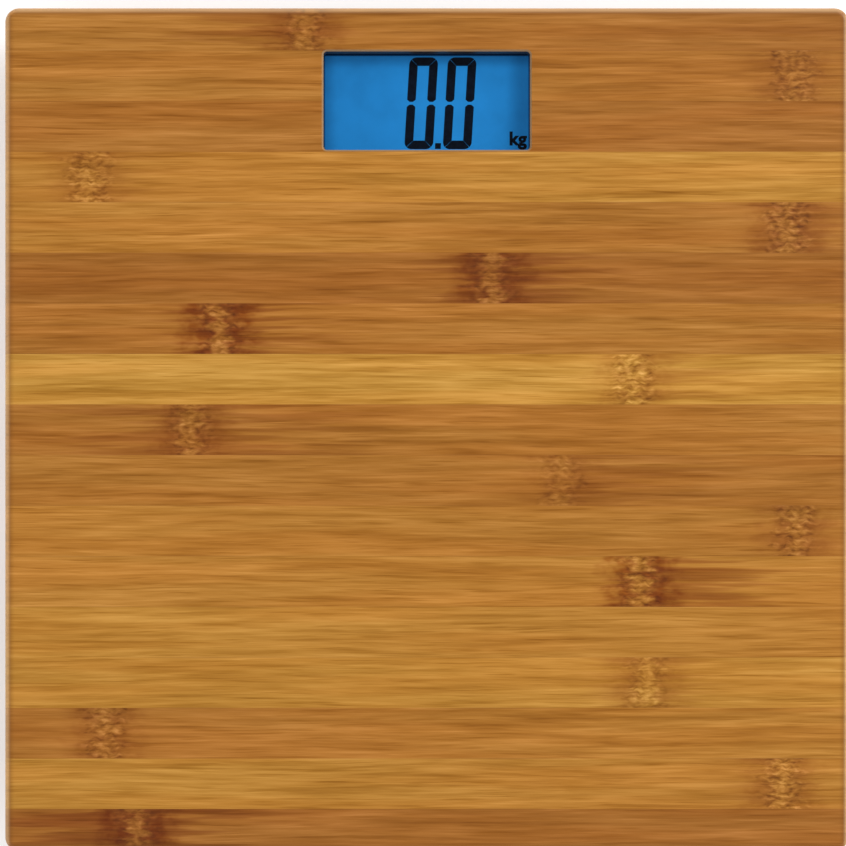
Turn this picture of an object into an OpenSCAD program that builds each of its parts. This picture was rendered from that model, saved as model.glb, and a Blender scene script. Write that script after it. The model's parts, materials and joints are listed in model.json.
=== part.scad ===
// Digital bathroom scale: a bamboo board on four load-cell feet, with an LCD module under a window.
// Millimetres. The origin is on the floor under the middle of the board. +Z is up and +Y points
// towards the board's display edge. Everything is placed from the driving dimensions below.

/* [Board] */
// Length of each side of the square board
board_side = 300; // [290:1:320]
// Thickness of the board
board_t = 15; // [15:0.5:18]
// Height of the board's underside above the floor
board_z = 13; // [13:0.5:16]
// Radius of the board's upright corners
board_corner_r = 5; // [3:0.5:10]
// Radius of the rounded upper edge
board_edge_r = 2.3; // [1:0.1:2.8]
// Chamfer along the lower edge
board_chamfer = 1; // [0.4:0.1:1.5]

/* [Window] */
// Width of the window
window_w = 73.4; // [72:0.2:74.4]
// Depth of the window, across the board
window_d = 35; // [33:0.2:35.4]
// Distance from the board's middle to the window's middle
window_y = 116.9; // [115:0.1:117]
// Corner radius of the window
window_r = 1.3; // [0.8:0.1:2]
// Chamfer round the window's upper edge
window_chamfer = 0.6; // [0.2:0.1:1]
// Thickness of the wood that is left over the module
window_web = 5.5; // [5:0.1:5.5]

/* [Feet] */
// Distance of each foot from the board's middle, along X and along Y
foot_offset = 112; // [108:0.5:112]
// Radius of the round bracket that holds a load cell
bracket_r = 28.5; // [28:0.1:29]
// Radius of the rubber pad
pad_r = 22; // [18:0.5:23]
// Travel of a foot at the full load of the scale
foot_travel = 0.5; // [0.3:0.1:0.6]

/* [Module] */
// Width of the bottom cover's flange
flange_w = 128; // [126:0.5:130]
// Height of the module's underside above the floor
module_z = 5; // [4.5:0.1:5.2]
// Travel of the unit button
button_travel = 0.8; // [0.4:0.1:0.9]
// Radius of a battery cell
cell_r = 5.25; // [5:0.05:5.25]
// Length of a battery cell with its nub
cell_len = 44.5; // [44:0.1:44.5]

/* [Hidden] */
$fn = 48;

// Heights of the board and its pockets
board_top = board_z + board_t;
pocket_top = board_top - window_web;
pod_pocket_top = board_z + 5;
groove_top = board_z + 3.5;
groove_w = 6;

// Module pocket in the board's underside
pocket_w = 108;
pocket_y0 = 60;
pocket_y1 = 142;
pocket_r = 6;

// Upper housing, bottom cover tray and flange
wall = 1.6;
housing_w = 103;
housing_y0 = 61;
housing_y1 = 141;
tray_w = 100;
tray_y0 = 60;
tray_y1 = 141;
tray_wall = 1.8;
flange_y0 = 54;
flange_y1 = 146;
flange_t = 1.8;
flange_low = board_z - flange_t;

// The display stack, counted down from the pocket's ceiling
gasket_t = 0.5;
lens_t = 1.5;
film_t = 0.2;
glass_t = 1.1;
guide_t = 3;
lens_top = pocket_top - gasket_t;
lens_low = lens_top - lens_t;
bezel_low = lens_low - 1.5;
front_film_low = bezel_low - film_t;
front_glass_low = front_film_low - glass_t;
rear_glass_low = front_glass_low - glass_t;
rear_film_low = rear_glass_low - film_t;
diffuser_low = rear_film_low - film_t;
guide_low = diffuser_low - guide_t;
reflector_low = guide_low - film_t;
frame_low = reflector_low - 1;
pcb_t = 1.6;
pcb_low = frame_low - pcb_t;

// Outlines of the display stack
lens_w = 80;
lens_d = 40.6;
bezel_w = 75.2;
bezel_d = 36.8;
glass_w = 78;
glass_d = 40;
ledge_d = 3;
film_w = 76.4;
film_d = 38;
film_gap = 0.2;

// Circuit board
pcb_w = 92;
pcb_y0 = 91.5;
pcb_step_y = 131;
pcb_y1 = 138.6;
pcb_step_w = 81.8;
pcb_post_x = 43.5;
pcb_post_ys = [100, 125];

// Screws: shank radius, head radius, and the play of a shank in its hole
play = 0.05;
small_screw_r = 1;
small_head_r = 1.9;
case_screw_r = 1.25;
case_head_r = 2.5;
wood_screw_r = 1.4;
wood_head_r = 2.7;
case_screw_x = 44.5;
case_screw_ys = [66, 136];
boss_r = 3.4;
flange_screw_x = 59;
flange_screw_ys = [64, 134];

// Battery bay
cell_ys = [72.2, 83.8];
cell_z = module_z + 7.4;
bay_w = 50;
bay_y0 = 66.1;
bay_y1 = 89.9;
bay_wall = 1.5;
bay_top = module_z + 13;
plate_t = 0.4;
spring_turns = 4;
spring_wire_r = 0.35;
spring_len = bay_w - 2 * plate_t - cell_len;

// Battery door and its hinge
door_w = 56;
door_y0 = 64;
door_y1 = 91.8;
door_t = 1.6;
door_gap = 0.3;
hinge_r = 0.8;
hinge_y = door_y0 + door_t / 2;
hinge_z = module_z + door_t / 2;
hinge_reach = 1.6;
recess_wall = 2;

// Unit button
button_x = 34;
button_y = 114;
button_r = 4;

// Foot unit, in heights above the floor
pad_top = 4;
cup_low = 3.6;
cup_top = 5.6;
cup_r = 26.5;
skirt_low = 6.5;
skirt_wall = 1.9;
lip_t = 1.2;
lip_r = 25.2;
ceiling_t = 2.2;
ceiling_low = pod_pocket_top - ceiling_t;
cell_plate_t = 2;
cell_plate_top = 13.6;
cell_plate_low = cell_plate_top - cell_plate_t;
cell_side = 34;
gauge_end = 13;
bracket_screw_ring = 22.5;

// Leads: radius, spacing, and the height at which they leave a foot unit
lead_r = 0.5;
lead_pitch = 1.25;
lead_z = 14.4;
front_entry_x = 38;
rear_lead_y = 112;

// Each foot unit: name, side of X, side of Y
feet = [["fl", -1, -1], ["fr", 1, -1], ["rl", -1, 1], ["rr", 1, 1]];

function foot_named(name) = [for (f = feet) if (f[0] == name) f][0];
function foot_at(f) = [f[1] * foot_offset, f[2] * foot_offset];

// Where the lead groove of a foot unit meets the module pocket
function groove_end(f) =
    f[2] < 0 ? [f[1] * front_entry_x, pocket_y0] : [f[1] * pocket_w / 2, rear_lead_y];
function groove_start(f) = f[2] < 0 ? foot_at(f) : [f[1] * foot_offset, rear_lead_y];
function unit2(v) = v / norm(v);
function groove_dir(f) = unit2(groove_end(f) - groove_start(f));

// Turn of a foot unit about Z that points its -y side along the groove
function unit_turn(f) = atan2(groove_dir(f)[1], groove_dir(f)[0]) + 90;

// ---------------------------------------------------------------- shared shapes

// Points of a circular arc, from angle a0 to a1
function arc(cx, cy, r, a0, a1, steps = 8) =
    [for (i = [0:steps]) let (a = a0 + (a1 - a0) * i / steps) [cx + r * cos(a), cy + r * sin(a)]];

// Slab with rounded upright corners whose edge follows a profile of [distance from the corner's
// centre, height] points. The profile starts and ends at distance 0.
module profiled_slab(w, d, r, profile) {
    x = w / 2 - r;
    y = d / 2 - r;
    low = min([for (p = profile) p[1]]);
    high = max([for (p = profile) p[1]]);
    translate([-x, -y, low]) cube([2 * x, 2 * y, high - low]);
    for (k = [0:3]) {
        out = k % 2 == 0 ? x : y;
        along = k % 2 == 0 ? y : x;
        rotate([0, 0, 90 * k]) translate([out, along, 0]) {
            rotate_extrude(angle = 90) polygon(profile);
            rotate([90, 0, 0]) linear_extrude(2 * along) polygon(profile);
        }
    }
}

// Plain slab with rounded upright corners, from z0 to z1
module round_slab(w, d, r, z0, z1) {
    profiled_slab(w, d, r, [[0, z0], [r, z0], [r, z1], [0, z1]]);
}

// The same, placed by its limits along Y
module slab_between(w, y0, y1, r, z0, z1) {
    translate([0, (y0 + y1) / 2, 0]) round_slab(w, y1 - y0, r, z0, z1);
}

// Box centred on X and Y, from z0 to z1
module block(w, d, z0, z1) {
    translate([-w / 2, -d / 2, z0]) cube([w, d, z1 - z0]);
}

// Upright cylinder at a place, from z0 to z1
module post(x, y, r, z0, z1) {
    translate([x, y, z0]) cylinder(r = r, h = z1 - z0);
}

// Screw pointing up: a shank with a blunt point, and a domed head with a cross recess
module screw(x, y, head_low, head_top, shank_r, head_r, tip) {
    dome = [
        [0, head_low], [head_r * 0.7, head_low], [head_r, head_low + head_r * 0.3], [head_r, head_top],
        [shank_r, head_top], [shank_r, tip - shank_r], [shank_r * 0.3, tip], [0, tip]
    ];
    slot = head_r * 0.35;
    translate([x, y, 0]) difference() {
        rotate_extrude() polygon(dome);
        for (turn = [0, 90]) rotate([0, 0, turn])
            block(head_r * 1.1, slot, head_low - 1, head_low + (head_top - head_low) * 0.55);
    }
}

// Points of a Catmull-Rom curve through a route of points
function curve_point(a, b, c, d, t) =
    0.5 * (2 * b + (c - a) * t + (2 * a - 5 * b + 4 * c - d) * t * t
        + (3 * b - a - 3 * c + d) * t * t * t);
function smooth_route(p, steps) = concat(
    [for (i = [0:len(p) - 2], k = [0:steps - 1])
        curve_point(p[max(i - 1, 0)], p[i], p[i + 1], p[min(i + 2, len(p) - 1)], k / steps)],
    [p[len(p) - 1]]);
function along_at(p, i) = p[min(i + 1, len(p) - 1)] - p[max(i - 1, 0)];

// Tube along points, as one closed surface. No stretch of it may point straight up.
module tube(p, r, sides = 8) {
    rings = [for (i = [0:len(p) - 1])
        let (t = along_at(p, i), side = cross([0, 0, 1], t), s = side / norm(side),
            up = cross(t / norm(t), s))
        for (k = [0:sides - 1]) p[i] + r * (cos(360 * k / sides) * s + sin(360 * k / sides) * up)];
    last = (len(p) - 1) * sides;
    walls = [for (i = [0:len(p) - 2], k = [0:sides - 1])
        let (a = i * sides + k, b = i * sides + (k + 1) % sides) [a, a + sides, b + sides, b]];
    caps = [[for (k = [0:sides - 1]) k], [for (k = [sides - 1:-1:0]) last + k]];
    polyhedron(rings, concat(walls, caps));
}

// ---------------------------------------------------------------- board

module lead_groove(f) {
    from = groove_start(f);
    reach = norm(groove_end(f) - from) + groove_w / 2;
    translate([from[0], from[1], 0]) rotate([0, 0, unit_turn(f)])
        translate([-groove_w / 2, -reach, board_z - 1]) cube([groove_w, reach, groove_top - board_z + 1]);
}

module bamboo_platform() {
    r = board_corner_r;
    edge = concat(
        [[0, board_z], [r - board_chamfer, board_z], [r, board_z + board_chamfer]],
        arc(r - board_edge_r, board_top - board_edge_r, board_edge_r, 0, 90),
        [[0, board_top]]);
    window_edge = [
        [0, pocket_top - 1], [window_r, pocket_top - 1], [window_r, board_top - window_chamfer],
        [window_r + window_chamfer, board_top], [window_r + window_chamfer, board_top + 1], [0, board_top + 1]
    ];
    color("peru") difference() {
        profiled_slab(board_side, board_side, r, edge);
        translate([0, window_y, 0]) profiled_slab(window_w, window_d, window_r, window_edge);
        slab_between(pocket_w, pocket_y0, pocket_y1, pocket_r, board_z - 1, pocket_top);
        for (f = feet) {
            post(foot_at(f)[0], foot_at(f)[1], bracket_r + 0.5, board_z - 1, pod_pocket_top);
            lead_groove(f);
            translate([foot_at(f)[0], foot_at(f)[1], 0]) rotate([0, 0, unit_turn(f)]) bracket_screw_places()
                post(0, 0, wood_screw_r + play, pod_pocket_top - 1, bracket_screw_tip + 0.5);
        }
        flange_screw_places() post(0, 0, wood_screw_r + play, board_z - 1, flange_screw_tip + 0.5);
    }
}

// ---------------------------------------------------------------- display stack

module display_lens() {
    color("lightcyan", 0.4) translate([0, window_y, 0]) round_slab(lens_w, lens_d, 2, lens_low, lens_top);
}

module lens_gasket() {
    color("dimgray") translate([0, window_y, 0]) difference() {
        round_slab(lens_w, lens_d, 2, lens_top, pocket_top);
        round_slab(bezel_w, bezel_d, 1, lens_top - 1, pocket_top + 1);
    }
}

module front_polariser() {
    color("steelblue") translate([0, window_y, 0]) block(film_w, film_d, front_film_low, bezel_low);
}

module lcd_front_glass() {
    y0 = window_y - glass_d / 2 - ledge_d;
    color("lightblue", 0.5) translate([-glass_w / 2, y0, front_glass_low])
        cube([glass_w, glass_d + ledge_d, glass_t]);
}

module lcd_rear_glass() {
    color("lightblue", 0.5) translate([0, window_y, 0])
        block(glass_w, glass_d, rear_glass_low, front_glass_low);
}

module rear_polariser() {
    color("slategray") translate([0, window_y, 0]) block(film_w, film_d, rear_film_low, rear_glass_low);
}

// Outline shared by the films under the glass, short of the LED strip on the -X side
led_strip_x = -glass_w / 2 + 2;

module backlight_layer(z0, z1) {
    x1 = glass_w / 2 - film_gap;
    translate([led_strip_x, window_y - glass_d / 2 + film_gap, z0])
        cube([x1 - led_strip_x, glass_d - 2 * film_gap, z1 - z0]);
}

module diffuser_film() {
    color("white") backlight_layer(diffuser_low, rear_film_low);
}

module light_guide() {
    color("aliceblue", 0.6) backlight_layer(guide_low, diffuser_low);
}

module reflector_film() {
    color("silver") backlight_layer(reflector_low, guide_low);
}

// Three side-firing LEDs on a narrow upright board at the light guide's -X edge
led_pitch = 11;
led_board_t = 0.8;

module led_board() {
    color("darkgreen") translate([-glass_w / 2, window_y - 16, reflector_low])
        cube([led_board_t, 32, guide_t]);
}

module backlight_leds() {
    x0 = -glass_w / 2 + led_board_t;
    color("lightyellow") for (k = [-1:1])
        translate([x0, window_y + k * led_pitch - 1.5, reflector_low + 0.6]) cube([led_strip_x - x0, 3, 1.8]);
}

// Tray that holds glass, films and light guide on the circuit board, with a slot for the zebra strip
zebra_w = 68;
zebra_d = 2;
zebra_y = window_y - glass_d / 2 - ledge_d / 2 - 0.2;

module lcd_frame() {
    rim = 1.8;
    outer_w = glass_w + 2 * rim + 0.4;
    y0 = window_y - glass_d / 2 - ledge_d - rim;
    y1 = window_y + glass_d / 2 + rim;
    color("whitesmoke") difference() {
        slab_between(outer_w, y0, y1, 1, frame_low, front_film_low - 0.2);
        translate([0, window_y, 0]) block(glass_w + 0.4, glass_d + 0.4, reflector_low, front_film_low + 1);
        translate([-glass_w / 2 - 0.2, window_y - glass_d / 2 - ledge_d - 0.2, front_glass_low])
            cube([glass_w + 0.4, glass_d, glass_t + 1]);
        translate([0, zebra_y, 0]) block(zebra_w + 0.4, zebra_d + 0.4, frame_low - 1, front_glass_low + 1);
    }
}

module zebra_strip() {
    color("darkslategray") translate([0, zebra_y, 0]) block(zebra_w, zebra_d, frame_low, front_glass_low);
}

// ---------------------------------------------------------------- circuit board

module pcb_post_places() {
    for (sx = [-1, 1], y = pcb_post_ys) translate([sx * pcb_post_x, y, 0]) children();
}

module main_pcb() {
    color("seagreen") difference() {
        union() {
            slab_between(pcb_w, pcb_y0, pcb_step_y, 1, pcb_low, frame_low);
            slab_between(pcb_step_w, pcb_y0, pcb_y1, 1, pcb_low, frame_low);
        }
        pcb_post_places() post(0, 0, small_screw_r + 0.2, pcb_low - 1, frame_low + 1);
    }
}

// Epoxy dome over the bare chip
module chip_blob() {
    dome_r = 6;
    dome_h = 1.8;
    sphere_r = (dome_r * dome_r + dome_h * dome_h) / (2 * dome_h);
    color("black") translate([-8, window_y, pcb_low]) intersection() {
        translate([0, 0, sphere_r - dome_h]) sphere(r = sphere_r);
        post(0, 0, dome_r + 1, -dome_h - 1, 0);
    }
}

// Resistors and capacitors in two rows, and one taller crystal
module smd_parts() {
    pitch = 3.6;
    resistor = [2, 1.25, 0.6];
    capacitor = [2, 1.25, 0.8];
    crystal = [7, 3.2, 1.6];
    color("saddlebrown") {
        for (k = [0:5]) translate([-26 + pitch * k, 100, pcb_low - resistor[2]]) cube(resistor);
        for (k = [0:3]) translate([6 + pitch * k, 128, pcb_low - capacitor[2]]) cube(capacitor);
        translate([8, 106, pcb_low - crystal[2]]) cube(crystal);
    }
}

module pcb_screws() {
    color("silver") pcb_post_places()
        screw(0, 0, pcb_low - 1.5, pcb_low, small_screw_r, small_head_r, pcb_low + 6);
}

// ---------------------------------------------------------------- housing

module case_screw_places() {
    for (sx = [-1, 1], y = case_screw_ys) translate([sx * case_screw_x, y, 0]) children();
}

module upper_housing() {
    roof_low = lens_top - wall;
    lens_play = 0.3;
    plinth_w = 93;
    plinth_y0 = 92;
    color("dimgray") difference() {
        union() {
            difference() {
                slab_between(housing_w, housing_y0, housing_y1, 4, board_z, lens_top);
                slab_between(housing_w - 2 * wall, housing_y0 + wall, housing_y1 - wall, 2.4,
                    board_z - 1, roof_low);
            }
            slab_between(plinth_w, plinth_y0, housing_y1 - 1, 1, bezel_low, lens_top);
            case_screw_places() post(0, 0, boss_r - 0.2, board_z, lens_top - 1);
            pcb_post_places() post(0, 0, 2.1, frame_low, lens_top - 1);
        }
        translate([0, window_y, 0])
            round_slab(lens_w + 2 * lens_play, lens_d + 2 * lens_play, 2.3, lens_low, lens_top + 1);
        translate([0, window_y, 0]) round_slab(bezel_w, bezel_d, 1, bezel_low - 1, lens_top);
        case_screw_places() post(0, 0, case_screw_r + play, board_z - 1, case_screw_tip + 0.5);
        pcb_post_places() post(0, 0, small_screw_r + play, frame_low - 1, pcb_low + 6.5);
        for (sx = [-1, 1]) {
            translate([sx * housing_w / 2, rear_lead_y, 0])
                block(4 * wall, groove_w, board_z - 1, groove_top);
            translate([sx * (front_entry_x - 1), housing_y0, 0])
                block(groove_w + 2, 4 * wall, board_z - 1, groove_top);
        }
    }
}

case_screw_head_top = module_z + 3.5;
case_screw_tip = case_screw_head_top + 10;

module housing_screws() {
    color("silver") case_screw_places()
        screw(0, 0, case_screw_head_top - 2, case_screw_head_top, case_screw_r, case_head_r, case_screw_tip);
}

module flange_screw_places() {
    for (sx = [-1, 1], y = flange_screw_ys) translate([sx * flange_screw_x, y, 0]) children();
}

flange_screw_tip = board_z + 9;

module cover_screws() {
    color("silver") flange_screw_places()
        screw(0, 0, flange_low - 1.8, flange_low, wood_screw_r, wood_head_r, flange_screw_tip);
}

// Recess for the battery door: a stepped well in the tray's floor, round the bay
recess_w = door_w + 2 * door_gap;
recess_y0 = door_y0 - door_gap;
recess_y1 = door_y1 + door_gap;
ledge_low = module_z + door_t + door_gap;
ledge_top = ledge_low + 1.5;

module bottom_cover() {
    tray_profile = [
        [0, module_z], [4, module_z], [6, module_z + 2], [6, board_z], [0, board_z]
    ];
    lip = recess_wall;
    bay_mid = (bay_y0 + bay_y1) / 2;
    bay_d = bay_y1 - bay_y0;
    color("#2b2b2d") difference() {
        union() {
            difference() {
                union() {
                    translate([0, (tray_y0 + tray_y1) / 2, 0])
                        profiled_slab(tray_w, tray_y1 - tray_y0, 6, tray_profile);
                    slab_between(flange_w, flange_y0, flange_y1, 6, flange_low, board_z);
                }
                slab_between(tray_w - 2 * tray_wall, tray_y0 + tray_wall, tray_y1 - tray_wall, 4.2,
                    module_z + wall, board_z + 1);
            }
            case_screw_places() post(0, 0, boss_r, module_z + 0.5, board_z);
            slab_between(recess_w + 2 * lip, recess_y0 - lip, recess_y1 + lip, 1, module_z + 0.5, ledge_top);
            translate([0, bay_mid, 0])
                block(bay_w + 2 * bay_wall, bay_d + 2 * bay_wall, ledge_low, bay_top + bay_wall);
            post(button_x, button_y, button_r + 2, module_z + 0.5, module_z + wall);
        }
        slab_between(recess_w, recess_y0, recess_y1, door_gap, module_z - 1, ledge_low);
        translate([0, bay_mid, 0]) block(bay_w, bay_d, ledge_low - 1, bay_top);
        case_screw_places() {
            post(0, 0, case_screw_r + 0.25, module_z - 1, board_z + 1);
            post(0, 0, case_head_r + 0.4, module_z - 1, case_screw_head_top);
        }
        flange_screw_places() post(0, 0, wood_screw_r + 0.25, flange_low - 1, board_z + 1);
        post(button_x, button_y, button_r + 0.4, module_z - 1, module_z + wall + 1);
        translate([0, hinge_y, hinge_z]) rotate([0, 90, 0])
            cylinder(r = hinge_r + play, h = door_w + 2 * hinge_reach + 0.4, center = true);
        latch_notch();
        for (y = cell_ys) terminal_tail(y, 0.15);
        finger_scoop();
    }
}

// Space in the recess wall for the door's latch, open towards the floor
latch_w = 12;
latch_reach = 1.2;

module latch_notch() {
    translate([-latch_w / 2 - 0.6, recess_y1 - 1, module_z - 1])
        cube([latch_w + 1.2, latch_reach + 1.3, 3.4]);
}

// Hollow in the tray's floor beside the latch, for a fingertip
module finger_scoop() {
    scoop_r = 8.4;
    scoop_w = 16;
    scoop_deep = 1;
    translate([0, recess_y1 + 9, module_z + scoop_deep - scoop_r]) rotate([0, 90, 0])
        cylinder(r = scoop_r, h = scoop_w, center = true);
}

// ---------------------------------------------------------------- battery bay

// Door with a full-round hinge edge, two hinge stubs, grip ribs and a sprung latch tongue
module battery_door() {
    plate_len = door_y1 - hinge_y;
    tongue_t = 1;
    rib_w = 20;
    rib_gap = 0.9;
    color("#2b2b2d") difference() {
        union() {
            translate([-door_w / 2, hinge_y, module_z]) cube([door_w, plate_len, door_t]);
            translate([0, hinge_y, hinge_z]) rotate([0, 90, 0]) {
                cylinder(r = door_t / 2, h = door_w, center = true);
                cylinder(r = hinge_r, h = door_w + 2 * hinge_reach, center = true);
            }
            translate([-latch_w / 2, door_y1 - 1, module_z + 0.3])
                cube([latch_w, latch_reach + 1, tongue_t]);
        }
        for (k = [0:4])
            translate([-rib_w / 2, door_y1 - 4 - 2 * k, module_z - 0.5]) cube([rib_w, rib_gap, rib_gap]);
    }
}

// Cell along X, with its nub at the end that sign points to
module cell(sign) {
    nub_r = 2.6;
    nub_len = 0.8;
    can_len = cell_len - nub_len;
    edge = 0.4;
    rotate([0, sign * 90, 0]) rotate_extrude() polygon([
        [0, 0], [cell_r - edge, 0], [cell_r, edge], [cell_r, can_len - edge], [cell_r - edge, can_len],
        [nub_r, can_len], [nub_r, cell_len], [0, cell_len]
    ]);
}

cell_end_x = bay_w / 2 - plate_t;

module battery_a() {
    color("goldenrod") translate([cell_end_x - cell_len, cell_ys[0], cell_z]) cell(1);
}

module battery_b() {
    color("goldenrod") translate([cell_len - cell_end_x, cell_ys[1], cell_z]) cell(-1);
}

// Contact plate against a bay wall, and its solder tail through the wall
module contact_plate(y0, y1, side) {
    x0 = side > 0 ? bay_w / 2 - plate_t : -bay_w / 2;
    translate([x0, y0, cell_z - 4.2]) cube([plate_t, y1 - y0, 9.2]);
}

module terminal_tail(y, grow) {
    translate([-bay_w / 2 - 4, y - 1.5 - grow, cell_z + 2 - grow])
        cube([4 + grow, 3 + 2 * grow, plate_t + 2 * grow]);
}

module link_plate() {
    color("silver") contact_plate(cell_ys[0] - 4.5, cell_ys[1] + 4.5, 1);
}

module terminal_plates() {
    color("silver") for (y = cell_ys) {
        contact_plate(y - 4.5, y + 4.5, -1);
        terminal_tail(y, 0);
    }
}

// Conical coil spring along X, from its wide end on the plate at x = 0
module coil_spring(sign) {
    steps = 14;
    wide = 3.6;
    narrow = 2.4;
    run = spring_len - 2 * spring_wire_r - 0.05;
    points = [for (i = [0:spring_turns * steps])
        let (t = i / (spring_turns * steps), a = 360 * i / steps, r = wide + (narrow - wide) * t)
        [sign * (spring_wire_r + run * t), r * cos(a), r * sin(a)]];
    spring_tube(points, spring_wire_r);
}

// Tube whose rings are set square to the spring's own axis, which is X
module spring_tube(p, r, sides = 6) {
    rings = [for (i = [0:len(p) - 1])
        let (t = along_at(p, i), u = t / norm(t), out = [0, p[i][1], p[i][2]], o = out / norm(out),
            s = cross(u, o))
        for (k = [0:sides - 1]) p[i] + r * (cos(360 * k / sides) * o + sin(360 * k / sides) * s / norm(s))];
    last = (len(p) - 1) * sides;
    walls = [for (i = [0:len(p) - 2], k = [0:sides - 1])
        let (a = i * sides + k, b = i * sides + (k + 1) % sides) [a, b, b + sides, a + sides]];
    caps = [[for (k = [sides - 1:-1:0]) k], [for (k = [0:sides - 1]) last + k]];
    polyhedron(rings, concat(walls, caps));
}

module battery_springs() {
    color("silver") {
        translate([-cell_end_x, cell_ys[0], cell_z]) coil_spring(1);
        translate([cell_end_x, cell_ys[1], cell_z]) coil_spring(-1);
    }
}

// Lead from a terminal tail to the circuit board's underside
module battery_lead(y, x_end) {
    tail_x = -bay_w / 2 - 3.4;
    r = 0.6;
    tube(smooth_route([
        [tail_x, y, cell_z + 1.3], [tail_x - 1.6, y + 3, cell_z - 0.6], [x_end, 88, 9.8],
        [x_end, 93, pcb_low - r - 0.05], [x_end, 97, pcb_low - r - 0.05]
    ], 4), r);
}

module battery_lead_red() {
    color("red") battery_lead(cell_ys[1], -30);
}

module battery_lead_black() {
    color("#101010") battery_lead(cell_ys[0], -33.5);
}

// ---------------------------------------------------------------- unit button

button_top = pcb_low - button_travel - 0.6;
pill_t = 0.5;

module unit_button() {
    cap = concat([[0, module_z - 0.4]], arc(button_r - 0.6, module_z + 0.2, 0.6, -90, 0, 4),
        [[button_r, module_z + wall + 0.4], [button_r - 1, module_z + wall + 0.4],
        [button_r - 1, button_top], [0, button_top]]);
    color("gray") translate([button_x, button_y, 0]) rotate_extrude() polygon(cap);
}

module button_pill() {
    color("#101010") post(button_x, button_y, 1.8, button_top, button_top + pill_t);
}

// Silicone ring between cover and circuit board, with the thin skirt that lets the key travel
module button_web() {
    inner = button_r - 1;
    ring_in = 6;
    ring_out = 7.6;
    floor_z = module_z + wall;
    skirt_t = 0.5;
    color("lightgray") translate([button_x, button_y, 0]) rotate_extrude() polygon([
        [inner, floor_z + 0.5], [inner + skirt_t, floor_z + 0.5], [ring_in, floor_z + 1.9],
        [ring_in, floor_z], [ring_out, floor_z], [ring_out, pcb_low], [ring_in, pcb_low],
        [ring_in, floor_z + 2.6], [inner, floor_z + 1.1]
    ]);
}

// ---------------------------------------------------------------- foot units

// Places a foot unit's child at its foot, turned so that its leads run into their groove
module at_foot(name) {
    f = foot_named(name);
    translate([foot_at(f)[0], foot_at(f)[1], 0]) rotate([0, 0, unit_turn(f)]) children();
}

module foot_pad() {
    groove = 0.7;
    profile = concat(
        [[0, 0], [6, 0], [6, groove], [7.2, groove], [7.2, 0], [12, 0], [12, groove], [13.2, groove],
        [13.2, 0], [18, 0], [18, groove], [19.2, groove], [19.2, 0]],
        arc(pad_r - 1, 1, 1, -90, 0, 5),
        [[pad_r, pad_top], [0, pad_top]]);
    color("#1c1c1e") rotate_extrude() polygon(profile);
}

// Disc under the load cell: a centre spigot, and three snap legs that keep it in its bracket
module foot_cup() {
    spigot_r = 5;
    nose_r = 3;
    leg_in = 22.6;
    leg_out = 24.6;
    hook_out = 26;
    hook_low = skirt_low + lip_t + foot_travel + 0.4;
    hook_top = hook_low + 1.2;
    disc = concat([[0, cup_low], [cup_r - 1.2, cup_low]], arc(cup_r - 0.8, cup_low + 0.8, 0.8, -60, 0, 4),
        [[cup_r, cup_top], [0, cup_top]]);
    hook = [[leg_in, cup_top - 0.5], [leg_out, cup_top - 0.5], [leg_out, hook_low], [hook_out, hook_low],
        [leg_out, hook_top], [leg_in, hook_top]];
    color("#2b2b2d") difference() {
        union() {
            rotate_extrude() polygon(disc);
            post(0, 0, spigot_r, cup_top - 0.5, cell_plate_low - 1.2);
            post(0, 0, nose_r, cup_top - 0.5, cell_plate_low);
            for (k = [0:2]) rotate([0, 0, 120 * k - 12]) rotate_extrude(angle = 24) polygon(hook);
            for (k = [0:5]) rotate([0, 0, 60 * k + 30])
                translate([spigot_r - 1, -0.7, cup_top - 0.5]) cube([15, 1.4, 2]);
        }
        post(0, 0, pad_r, cup_low - 1, pad_top);
    }
}

// Square spring-steel plate: outer frame, and a centre tongue that takes the foot's push
module load_cell() {
    tongue_w = 13;
    tongue_end = 6;
    root = -11;
    slot = 3;
    color("lightsteelblue") difference() {
        round_slab(cell_side, cell_side, 3, cell_plate_low, cell_plate_top);
        for (sx = [-1, 1])
            translate([sx * (tongue_w + slot) / 2, (root + tongue_end + slot) / 2, 0])
                block(slot, tongue_end + slot - root, cell_plate_low - 1, cell_plate_top + 1);
        translate([0, tongue_end + slot / 2, 0])
            block(tongue_w + 1, slot, cell_plate_low - 1, cell_plate_top + 1);
    }
}

module gauge_cover() {
    top = cell_plate_top + 1.4;
    color("white") translate([0, 4 - gauge_end, 0])
        profiled_slab(10, 8, 1.5, [[0, cell_plate_top], [1.5, cell_plate_top], [1.5, top - 0.5],
            [1, top], [0, top]]);
}

bracket_screw_head_low = ceiling_low - 1.8;
bracket_screw_tip = pod_pocket_top + 6.5;

module bracket_screw_places() {
    for (k = [0:2]) rotate([0, 0, 90 + 120 * k]) translate([bracket_screw_ring, 0, 0]) children();
}

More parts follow.
